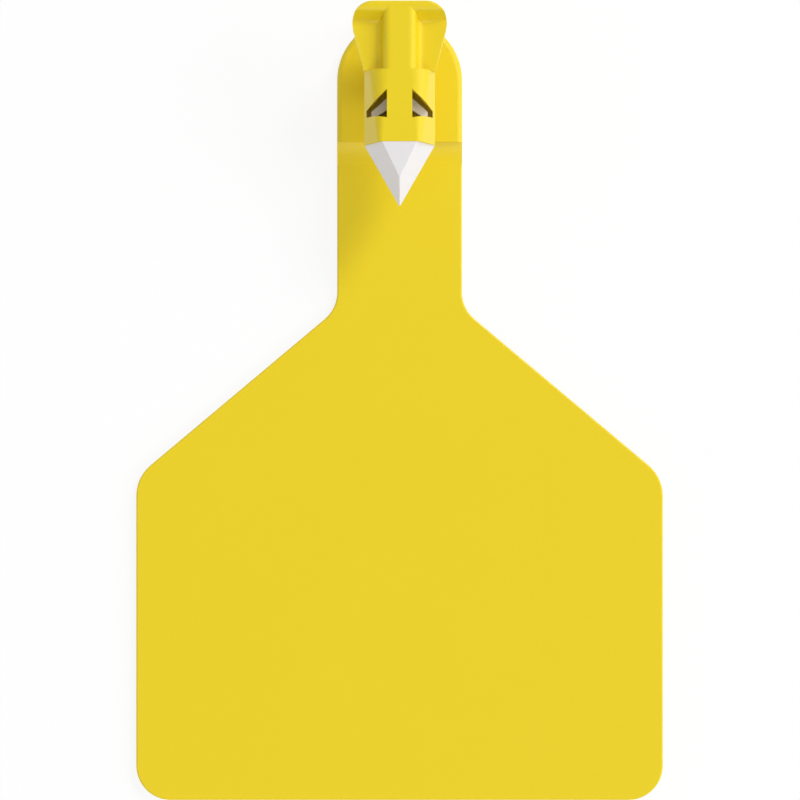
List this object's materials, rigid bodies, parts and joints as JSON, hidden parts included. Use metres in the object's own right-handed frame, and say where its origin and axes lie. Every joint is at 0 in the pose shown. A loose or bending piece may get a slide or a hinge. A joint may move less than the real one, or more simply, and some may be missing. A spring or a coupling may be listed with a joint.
{
  "type": "livestock ear tag",
  "caption": "Blank yellow self-piercing cattle ear tag: a flexible number panel on a strap neck, with a winged piercing head and a hard white faceted point.",
  "frame": {"origin": "under the middle of the tag's length and width, on the plane of its flat back", "axes": "+X across the tag to the viewer's right, +Y up the tag from the panel to the head, +Z out of the front face"},
  "size_m": [0.076, 0.1128, 0.0179],
  "materials": {
    "flexible_yellow": "satin",
    "hard_white": "satin"
  },
  "bodies": {
    "root": {"tag_body": "flexible_yellow", "piercing_tip": "hard_white"}
  },
  "joints": []
}
